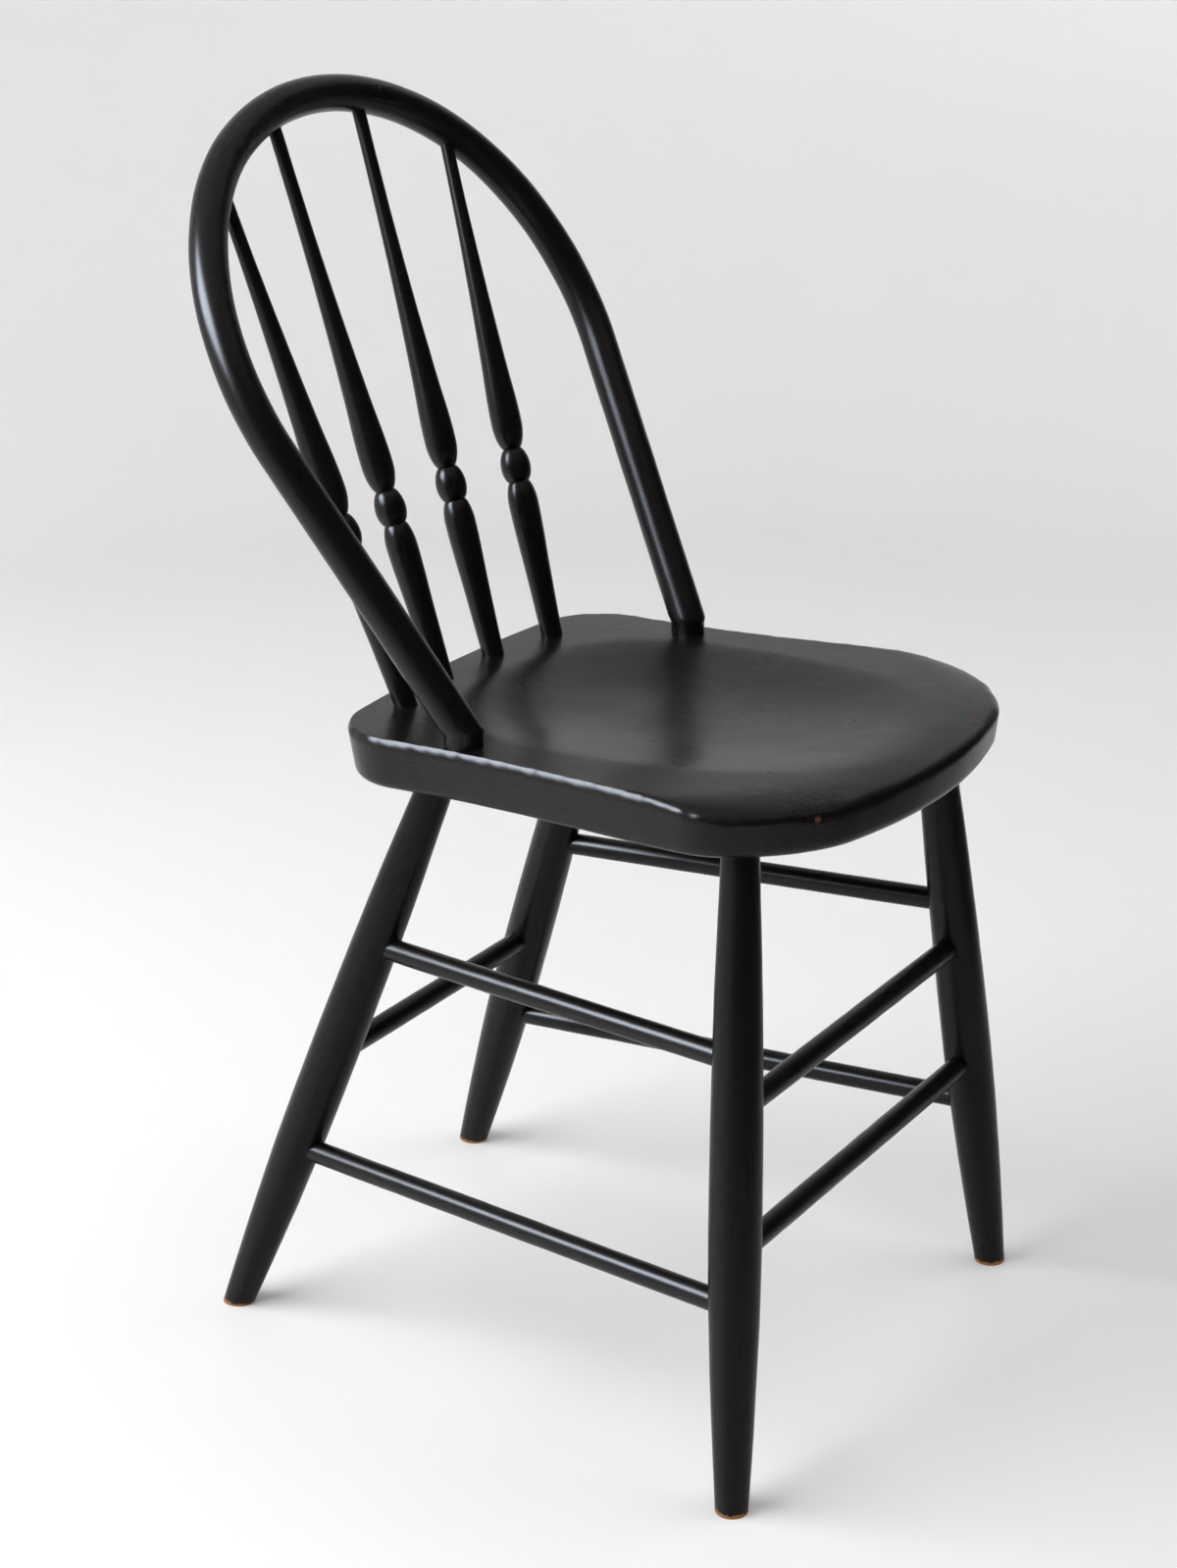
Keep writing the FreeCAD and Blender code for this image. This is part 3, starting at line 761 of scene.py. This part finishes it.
def bare_wood():
    """Wood inside the joints, which no paint reaches."""
    pale = settings_of("paint").hidden_wood
    darkness = 0.6
    dark = tuple(darkness * channel for channel in pale)
    wood = Finish("bare_wood")
    inputs = {"Vector": wood.place_in_chair(), "Scale": (1, 1, 0.08)}
    fibre = wood.noise(wood.node("ShaderNodeMapping", inputs=inputs), scale=900.0, detail=4.0)
    wood.set(
        base_color=wood.mix(fibre.between(low=0.35, high=0.7), rgba(pale), rgba(dark)),
        roughness=0.6 + fibre.swing(0.2),
        normal=wood.bump(fibre, distance=0.0002),
    )
    return wood.material


# Seat

# Three waves that wear the top edge unevenly along Y: radians in a metre, and where each starts
EDGE_WAVES = ((310, 0), (523, 1), (171, 2))


def front_edge(seat, x):
    """The front edge's arc, drawn back into the rounded corners."""
    arc = (seat.front_corner.y - seat.front_y) * (x / seat.front_corner.x) ** 2
    radius = seat.front_corner_radius
    into_corner = np.abs(x) - (seat.front_corner.x - radius)
    into_corner = np.clip(into_corner, 0, seat.roll_corner_share * radius)
    return seat.front_y + arc + radius - np.sqrt(radius ** 2 - into_corner ** 2)


def half_width(seat, y):
    """The waisted side, as the cubic through its four stations."""
    widths, places = np.transpose([seat.front_corner, seat.thigh, seat.waist, seat.rear_corner])
    return np.polyval(np.polyfit(places, widths, len(places) - 1), y)


def smooth_step(value):
    value = np.clip(value, 0, 1)
    return value * value * (3 - 2 * value)


def saddle_drop(seat, x, y):
    """How far the seat's top lies below its rim."""
    along = y - seat.saddle_middle_y
    reach = np.where(along > 0, seat.saddle_rear_reach, seat.saddle_front_reach)
    power = seat.saddle_squareness
    spread = np.abs(x / seat.saddle_half_width) ** power + np.abs(along / reach) ** power
    inside = np.clip(1 - spread, 0, None)
    roll = np.clip(1 - (y - front_edge(seat, x)) / seat.roll_width, 0, None)
    corner = smooth_step((np.abs(x) - seat.front_corner.x) / seat.front_corner_radius + 1)
    hollow = seat.saddle_depth * inside ** seat.saddle_softness
    return hollow + (seat.roll_drop - seat.roll_corner_rise * corner) * roll ** seat.roll_softness


def to_edge(u, v):
    """How far out points of a square lie, from 0 to 1, and the points of its edge straight out from them."""
    rim = np.maximum(np.abs(u), np.abs(v))
    rim_safe = np.where(rim > 0, rim, 1)
    return rim, u / rim_safe, v / rim_safe


def rounded_square(seat, u, v):
    """Draw a square's corners in to the seat's, leaving its middle as it is."""
    rim, edge_u, edge_v = to_edge(u, v)
    radius = np.where(v < 0, seat.front_corner_radius, seat.rear_corner_radius)
    ru = radius / seat.front_corner.x
    rv = radius / ((seat.back_y - seat.front_y) / 2)
    past_u = np.clip((np.abs(edge_u) - (1 - ru)) / ru, 0, 1)
    past_v = np.clip((np.abs(edge_v) - (1 - rv)) / rv, 0, 1)
    turn = (past_u + 1 - past_v) / 2 * math.pi / 2
    in_corner = (past_u > 0) & (past_v > 0)
    round_u = np.where(in_corner, 1 - ru + ru * np.sin(turn), np.abs(edge_u)) * np.sign(edge_u)
    round_v = np.where(in_corner, 1 - rv + rv * np.cos(turn), np.abs(edge_v)) * np.sign(edge_v)
    hold = 5
    blend = rim ** hold
    return u * (1 - blend) + round_u * rim * blend, v * (1 - blend) + round_v * rim * blend


def in_plan(seat, u, v):
    """Where points of a square lie in the seat's plan, as X and Y."""
    u, v = rounded_square(seat, u, v)
    front = seat.front_y + (seat.front_corner.y - seat.front_y) * u ** 2
    back = seat.back_y + (seat.rear_corner.y - seat.back_y) * u ** 2
    y = front + (back - front) * (v + 1) / 2
    return np.column_stack([u * half_width(seat, y), y])


def outwards(seat, u, v):
    """The outward directions of the plan's edge at points of the square's edge."""
    step = 0.02
    crosswise = np.abs(v) >= np.abs(u)
    step_u, step_v = step * crosswise, step * ~crosswise
    ahead = in_plan(seat, np.clip(u + step_u, -1, 1), np.clip(v + step_v, -1, 1))
    behind = in_plan(seat, np.clip(u - step_u, -1, 1), np.clip(v - step_v, -1, 1))
    along = ahead - behind
    across = np.column_stack([along[:, 1], -along[:, 0]])
    across /= np.linalg.norm(across, axis=1, keepdims=True)
    away = in_plan(seat, u, v) - (0, (seat.front_y + seat.back_y) / 2)
    inward = (across * away).sum(axis=1) < 0
    across[inward] *= -1
    return across


def shape_plank(seat, points):
    """Turn a square block, level from 0 down, into the plank, with its outer rings on the rounded edges."""
    u, v = points[:, 0], points[:, 1]
    share = -points[:, 2] / seat.thickness
    rim, edge_u, edge_v = to_edge(u, v)
    flat_rings = seat.rings - seat.edge_rings
    ring = rim * seat.rings
    flat = np.clip(ring / flat_rings, 0, 1)
    turn = np.clip((ring - flat_rings) / seat.edge_rings, 0, 1) * math.pi / 2
    edge_y = in_plan(seat, edge_u, edge_v)[:, 1]
    in_front = smooth_step((seat.edge_change_y - edge_y) / (seat.edge_change_y - seat.front_corner.y))
    waves = [np.sin(pace * edge_y + phase) for pace, phase in EDGE_WAVES]
    worn = 1 + seat.edge_wear * sum(waves) / len(waves)
    top_radius = (seat.top_edge + (seat.front_top_edge - seat.top_edge) * in_front) * worn
    bottom_radius = seat.bottom_edge + (seat.front_bottom_edge - seat.bottom_edge) * in_front
    near = 1e-4
    on_top, on_bottom = share < near, share > 1 - near
    radius = np.where(on_top, top_radius, bottom_radius)
    flatness = np.where(on_top, seat.edge_flatness * (1 - in_front), 0)
    steepness = np.where(on_top, seat.edge_steepness * (1 - in_front), 0)
    level_turn = turn / (math.pi / 2)
    inset = radius * (1 - steepness) * (1 - np.sin(turn) * (1 - flatness) - level_turn * flatness)
    inset = np.where(on_top | on_bottom, inset, 0)
    rounding = radius * (1 - np.cos(turn) * (1 - flatness) - (1 - level_turn) * flatness)
    upright = top_radius + share * (seat.thickness - top_radius - bottom_radius)
    depth = np.where(on_top, rounding, np.where(on_bottom, seat.thickness - rounding, upright))
    place_in_plan = in_plan(seat, edge_u * flat, edge_v * flat)
    outward = outwards(seat, edge_u, edge_v)
    hold = 4

    def drawn_in(depth):
        amount = (inset + seat.undercut * depth / seat.thickness) * flat ** hold
        return place_in_plan - outward * amount[:, None]

    x, y = drawn_in(depth).T
    depth = depth + saddle_drop(seat, x, y) * (1 - depth / seat.thickness)
    warp = seat.warp * np.clip(x / seat.front_corner.x, 0, 1) ** 2 * np.clip(y / seat.front_y, 0, 1) ** 2
    return np.column_stack([drawn_in(depth), warp - depth])


def build_seat():
    """A square grid pushed down to a block and shaped to the plank, with the wood from front to back."""
    seat = settings_of("seat")
    piece = start(
        bpy.ops.mesh.primitive_grid_add, x_subdivisions=2 * seat.rings, y_subdivisions=2 * seat.rings, size=2
    )
    bpy.ops.mesh.select_all(action="SELECT")
    for _ in range(seat.courses):
        extrude((0, 0, -seat.thickness / seat.courses))
    end_edit()
    rename(piece, "painted_seat")
    move_vertices(piece.data, shape_plank(seat, coordinates(piece.data)))
    roughen(piece, settings_of("paint").wobble, size=0.03)
    lay_grain(piece, coordinates(piece.data)[:, [0, 2, 1]])
    apply_place(piece, seat_matrix())
    material = satin_black("satin_black_seat", chips=(seat.left_chip, seat.right_chip), nicks=(seat.nick,))
    hand_over(piece, material, "seat_paint", "seat")


# Bow

def straightened(bow, points):
    """Where points of the bow lie once it is straight: outside its line, off its plane and along it."""
    x = np.abs(points[:, 0])
    z = points[:, 2]
    centre_x, centre_z = shoulder_centre(bow)
    last_x, last_z, end_angle = shoulder_end(bow)
    crown_turn = np.arctan2(x, z + bow.crown_radius)
    shoulder_turn = np.arctan2(x - centre_x, z - centre_z)
    crown_length = bow.crown_radius * bow.crown_half_angle
    along_crown = bow.crown_radius * crown_turn
    out_crown = np.hypot(x, z + bow.crown_radius) - bow.crown_radius
    along_shoulder = crown_length + bow.shoulder_radius * (shoulder_turn - bow.crown_half_angle)
    out_shoulder = np.hypot(x - centre_x, z - centre_z) - bow.shoulder_radius
    heading = (math.cos(end_angle), -math.sin(end_angle))
    run = (x - last_x) * heading[0] + (z - last_z) * heading[1]
    along_straight = crown_length + bow.shoulder_radius * (end_angle - bow.crown_half_angle) + run
    out_straight = -(x - last_x) * heading[1] + (z - last_z) * heading[0]
    on_crown = crown_turn < bow.crown_half_angle
    on_straight = run > 0
    along = np.where(on_straight, along_straight, np.where(on_crown, along_crown, along_shoulder))
    out = np.where(on_straight, out_straight, np.where(on_crown, out_crown, out_shoulder))
    return np.column_stack([out, points[:, 1], along * np.sign(points[:, 0])])


def build_bow():
    """A disc drawn up from the right end, spun round shoulders and crown, and drawn down on the left."""
    bow = settings_of("bow")
    to_plane = bow_matrix().inverted()
    centre_x, centre_z = shoulder_centre(bow)
    last_x, last_z, end_angle = shoulder_end(bow)
    lasts = {side: Vector((sign * last_x, 0, last_z)) for side, sign in SIDES.items()}
    straights = {}
    for side, last in lasts.items():
        straights[side] = to_plane @ bow_foot(side) - last
        straights[side] += straights[side].normalized() * bow.diameter
    lean = (-straights["right"]).to_track_quat("Z", "Y").to_euler()
    right_end = lasts["right"] + straights["right"]
    piece = start_disc(bow.sides, bow.diameter / 2, location=right_end, rotation=lean)
    for _ in range(bow.straight_rings):
        extrude(straights["right"] / -bow.straight_rings)
    arcs = (
        (-centre_x, centre_z, bow.shoulder_rings, end_angle - bow.crown_half_angle),
        (0, -bow.crown_radius, bow.crown_rings, 2 * bow.crown_half_angle),
        (centre_x, centre_z, bow.shoulder_rings, end_angle - bow.crown_half_angle),
    )
    for x, z, rings, turn in arcs:
        bpy.ops.mesh.spin(center=(x, 0, z), steps=rings, angle=turn, axis=(0, -1, 0))
    for _ in range(bow.straight_rings):
        extrude(straights["left"] / bow.straight_rings)
    end_edit()
    rename(piece, "painted_bow")
    apply_place(piece, piece.matrix_world.copy())
    roughen(piece, settings_of("paint").wobble, size=0.04)
    lay_grain(piece, straightened(bow, coordinates(piece.data)))
    apply_place(piece, bow_matrix())
    for side, last in lasts.items():
        set_neck_upright(piece, bow, bow_foot(side), bow_matrix() @ last)
    trim_bow_ends(bow)
    hand_over(piece, satin_black("satin_black_bow"), "bow_paint", "bow")


def set_neck_upright(piece, bow, foot, last):
    """Narrow a straight end to a neck just over the seat, square to it, and leave what the seat hides."""
    hidden_depth = settings_of("seat").thickness / 2
    to_seat = seat_matrix().inverted()
    low, high = to_seat @ foot, to_seat @ last
    rise = (high - low) / (high.z - low.z)
    lean = np.array(rise.xy)
    points = coordinates(piece.data)
    turn = np.array(to_seat)
    level = points @ turn[:3, :3].T + turn[:3, 3]
    height = level[:, 2]
    over_neck = 2 * bow.neck_height
    neck = (level[:, 0] * low.x > 0) & (height < over_neck)
    axis = np.array(low.xy) + (height[:, None] - low.z) * lean
    shoulder = bow.neck_shoulder
    narrowed = 1 - (1 - bow.neck_share) * smooth_step((bow.neck_height + shoulder / 2 - height) / shoulder)
    upright = np.clip(bow.neck_height - height, 0, None)
    hidden = smooth_step(-height / hidden_depth)
    shift = (upright * (1 - hidden))[:, None] * lean
    moved = level.copy()
    moved[:, :2] = axis + (level[:, :2] - axis) * (narrowed + (1 - narrowed) * hidden)[:, None] + shift
    level[neck] = moved[neck]
    back = np.array(seat_matrix())
    move_vertices(piece.data, level @ back[:3, :3].T + back[:3, 3])


def trim_bow_ends(bow):
    """Cut both ends of the active bow along the seat's underside, just proud of it."""
    low = on_seat(0, 0, settings_of("seat").thickness + bow.proud_end)
    down = seat_matrix().to_3x3() @ Vector((0, 0, -1))
    bpy.ops.object.mode_set(mode="EDIT")
    bpy.ops.mesh.select_all(action="SELECT")
    bpy.ops.mesh.bisect(plane_co=low, plane_no=down, use_fill=True, clear_outer=True)
    end_edit()


# Spindles, legs, stretchers and wedges

def build_spindles():
    material = satin_black("satin_black_spindles")
    pairs = turned_pairs(
        "spindle", ("outer", "inner"), spindle_line, spindle_profile,
        wobble=settings_of("paint").wobble / 2, wave_size=0.02, grain_shift=(0.1, 0.3),
    )
    for piece, node_name in pairs:
        hand_over(piece, material, "spindle_paint", node_name)


def build_legs():
    material = satin_black("satin_black_legs", worn_feet=True, gloss=0.7)
    pairs = turned_pairs(
        "leg", ("front", "rear"), leg_line, leg_profile,
        wobble=settings_of("paint").wobble, wave_size=0.035, grain_shift=(0.2, 0.5),
    )
    for piece, node_name in pairs:
        cut_foot_level(piece)
        hand_over(piece, material, "leg_paint", node_name)


def cut_foot_level(piece):
    """Cut the active leg along the floor and round its rim."""
    bpy.ops.object.mode_set(mode="EDIT")
    bpy.ops.mesh.select_all(action="SELECT")
    bpy.ops.mesh.bisect(plane_co=(0, 0, 0), plane_no=(0, 0, 1), use_fill=True, clear_inner=True)
    select_rim(piece, 0.0)
    bpy.ops.mesh.bevel(offset=settings_of("legs").foot_edge, segments=3, profile=0.5, clamp_overlap=False)
    end_edit()


def build_stretchers():
    material = satin_black("satin_black_stretchers", dent_relief=0.8)
    sides = settings_of("stretchers").sides
    grain_shift = 0.15
    for i, (name, line) in enumerate(stretcher_lines().items()):
        piece = turn_on_lathe("painted_" + name, stretcher_profile((line[1] - line[0]).length), sides)
        roughen(piece, settings_of("paint").wobble, size=0.02)
        lay_grain(piece, coordinates(piece.data), (grain_shift * i, 0, 0))
        apply_place(piece, line_matrix(*line))
        hand_over(piece, material, "stretcher_paint", name)


def finish_wedges():
    material = bare_wood()
    for name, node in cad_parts.items():
        if "wedge" in name:
            for slot in node.material_slots:
                slot.material = material


# Stage

def add_floor(stage):
    """A flat round floor that sweeps up to a wall all round."""
    smooth_edges = math.radians(20)
    steps = 16
    floor = start_disc(128, stage.flat_radius, location=(0, 0, 0))
    select_rim(floor, 0.0)
    rings = []
    for i in range(1, steps + 1):
        turn = math.pi / 2 * i / steps
        rise = stage.sweep_radius * (1 - math.cos(turn))
        rings.append((rise, stage.flat_radius + stage.sweep_radius * math.sin(turn)))
    rings.append((stage.wall_height, rings[-1][1]))
    grow(0.0, stage.flat_radius, rings)
    end_edit(inside=True)
    bpy.ops.object.shade_smooth_by_angle(angle=smooth_edges)
    floor.name = "floor"
    paint = Finish("floor")
    paint.set(base_color=rgba(stage.floor), roughness=stage.floor_roughness)
    floor.data.materials.append(paint.material)


def add_reflected_shade(stage):
    """Painted shade for reflections: a dark sheet over part of the floor and a dark band round the room,
    which stand in for the shaded floor and the unlit side of the room, and which only reflections show.
    """
    floor = {"fill_type": "NGON", "location": (0, 0, stage.floor_shade_height)}
    height = stage.room_shade_height
    curtain = {"end_fill_type": "NOTHING", "depth": height, "location": (0, 0, height / 2)}
    circle, cylinder = bpy.ops.mesh.primitive_circle_add, bpy.ops.mesh.primitive_cylinder_add
    cards = (
        ("dark_floor", stage.floor_shade_azimuth, stage.floor_shade_start, circle, floor),
        ("curtain", stage.room_shade_azimuth, stage.room_shade_start, cylinder, curtain),
    )
    paint = Finish("dark_room")
    paint.set(base_color=rgba(stage.dark), roughness=1.0)
    for name, azimuth, nearest, primitive, settings in cards:
        away = Vector((math.sin(azimuth), -math.cos(azimuth), 0))
        card = start(primitive, vertices=96, radius=stage.reflected_shade_radius, **settings)
        bpy.ops.mesh.bisect(plane_co=away * nearest, plane_no=away, clear_inner=True)
        bpy.ops.object.mode_set(mode="OBJECT")
        card.name = name
        # Painted shade: each sheet is hidden from the camera, from light and from shadows, and only darkens
        # the chair's reflections.
        card.visible_camera = False
        card.visible_diffuse = False
        card.visible_shadow = False
        card.data.materials.append(paint.material)


def add_area_light(stage, name, kind):
    """A rectangle of light with the settings of its kind, aimed at what the camera looks at."""
    location = Vector(getattr(stage, kind + "_place"))
    aim = Vector(stage.target) - location
    bpy.ops.object.light_add(type="AREA", location=location, rotation=aim.to_track_quat("-Z", "Y").to_euler())
    light = bpy.context.active_object
    light.name = name
    light.visible_camera = False
    light.data.shape = "RECTANGLE"
    light.data.size, light.data.size_y = getattr(stage, kind + "_size")
    light.data.energy = getattr(stage, kind + "_power")
    light.data.color = getattr(stage, kind + "_colour")
    return light


def add_lights(stage):
    """Daylight from a window, its bright pane for reflections, and soft light from above and all round."""
    add_area_light(stage, "daylight", "window").visible_glossy = False
    add_area_light(stage, "window_pane", "pane").visible_diffuse = False
    add_area_light(stage, "ceiling_light", "ceiling").visible_glossy = False
    world = bpy.data.worlds.new("fill")
    world.use_nodes = True
    background = world.node_tree.nodes["Background"]
    background.inputs["Color"].default_value = (1, 1, 1, 1)
    background.inputs["Strength"].default_value = stage.fill
    bpy.context.scene.world = world
    bpy.context.scene.view_settings.view_transform = "Standard"


def add_camera(stage):
    target = Vector(stage.target)
    back = Vector((
        math.sin(stage.azimuth) * math.cos(stage.elevation),
        -math.cos(stage.azimuth) * math.cos(stage.elevation),
        math.sin(stage.elevation),
    ))
    turn = back.to_track_quat("Z", "Y").to_euler()
    bpy.ops.object.camera_add(location=target + back * stage.distance, rotation=turn)
    camera = bpy.context.active_object
    camera.name = "camera"
    camera.data.sensor_fit = "VERTICAL"
    camera.data.sensor_height = stage.film_height
    camera.data.lens = stage.lens
    bpy.context.scene.camera = camera


# Operators

class StageOperator(bpy.types.Operator):
    """Add the swept floor, the painted shade that only reflections show, the lights and the camera"""

    bl_idname = "windsor.add_stage"
    bl_label = "Add Stage"

    def execute(self, context):
        stage = context.scene.windsor_stage
        add_floor(stage)
        add_reflected_shade(stage)
        add_lights(stage)
        add_camera(stage)
        return {"FINISHED"}


class SeatOperator(bpy.types.Operator):
    """Model the hollowed plank seat"""

    bl_idname = "windsor.add_seat"
    bl_label = "Add Seat"

    def execute(self, context):
        build_seat()
        return {"FINISHED"}


class BowOperator(bpy.types.Operator):
    """Bend the bow"""

    bl_idname = "windsor.add_bow"
    bl_label = "Add Bow"

    def execute(self, context):
        build_bow()
        return {"FINISHED"}


class SpindlesOperator(bpy.types.Operator):
    """Turn the four spindles"""

    bl_idname = "windsor.add_spindles"
    bl_label = "Add Spindles"

    def execute(self, context):
        build_spindles()
        return {"FINISHED"}


class LegsOperator(bpy.types.Operator):
    """Turn the four legs and cut their feet level"""

    bl_idname = "windsor.add_legs"
    bl_label = "Add Legs"

    def execute(self, context):
        build_legs()
        return {"FINISHED"}


class StretchersOperator(bpy.types.Operator):
    """Fit the seven stretchers"""

    bl_idname = "windsor.add_stretchers"
    bl_label = "Add Stretchers"

    def execute(self, context):
        build_stretchers()
        return {"FINISHED"}


class WedgesOperator(bpy.types.Operator):
    """Give the hidden wedges their bare wood"""

    bl_idname = "windsor.finish_wedges"
    bl_label = "Finish Wedges"

    def execute(self, context):
        finish_wedges()
        return {"FINISHED"}


STEPS = (
    StageOperator,
    SeatOperator,
    BowOperator,
    SpindlesOperator,
    LegsOperator,
    StretchersOperator,
    WedgesOperator,
)


class WindsorPanel(bpy.types.Panel):
    """The steps that build the chair"""

    bl_idname = "VIEW3D_PT_windsor"
    bl_label = "Windsor Chair"
    bl_space_type = "VIEW_3D"
    bl_region_type = "UI"
    bl_category = "Windsor Chair"

    def draw(self, context):
        for step in STEPS:
            self.layout.operator(step.bl_idname)


SETTINGS = {
    "windsor_seat": SeatSettings,
    "windsor_legs": LegSettings,
    "windsor_stretchers": StretcherSettings,
    "windsor_bow": BowSettings,
    "windsor_spindles": SpindleSettings,
    "windsor_paint": PaintSettings,
    "windsor_stage": StageSettings,
}


def register():
    for name, group in SETTINGS.items():
        bpy.utils.register_class(group)
        setattr(bpy.types.Scene, name, PointerProperty(type=group))
    for operator in STEPS:
        bpy.utils.register_class(operator)
    bpy.utils.register_class(WindsorPanel)


def unregister():
    bpy.utils.unregister_class(WindsorPanel)
    for operator in STEPS:
        bpy.utils.unregister_class(operator)
    for name, group in SETTINGS.items():
        delattr(bpy.types.Scene, name)
        bpy.utils.unregister_class(group)


def main():
    register()
    bpy.ops.windsor.add_stage()
    bpy.ops.windsor.add_seat()
    bpy.ops.windsor.add_bow()
    bpy.ops.windsor.add_spindles()
    bpy.ops.windsor.add_legs()
    bpy.ops.windsor.add_stretchers()
    bpy.ops.windsor.finish_wedges()


if __name__ == "__main__":
    main()
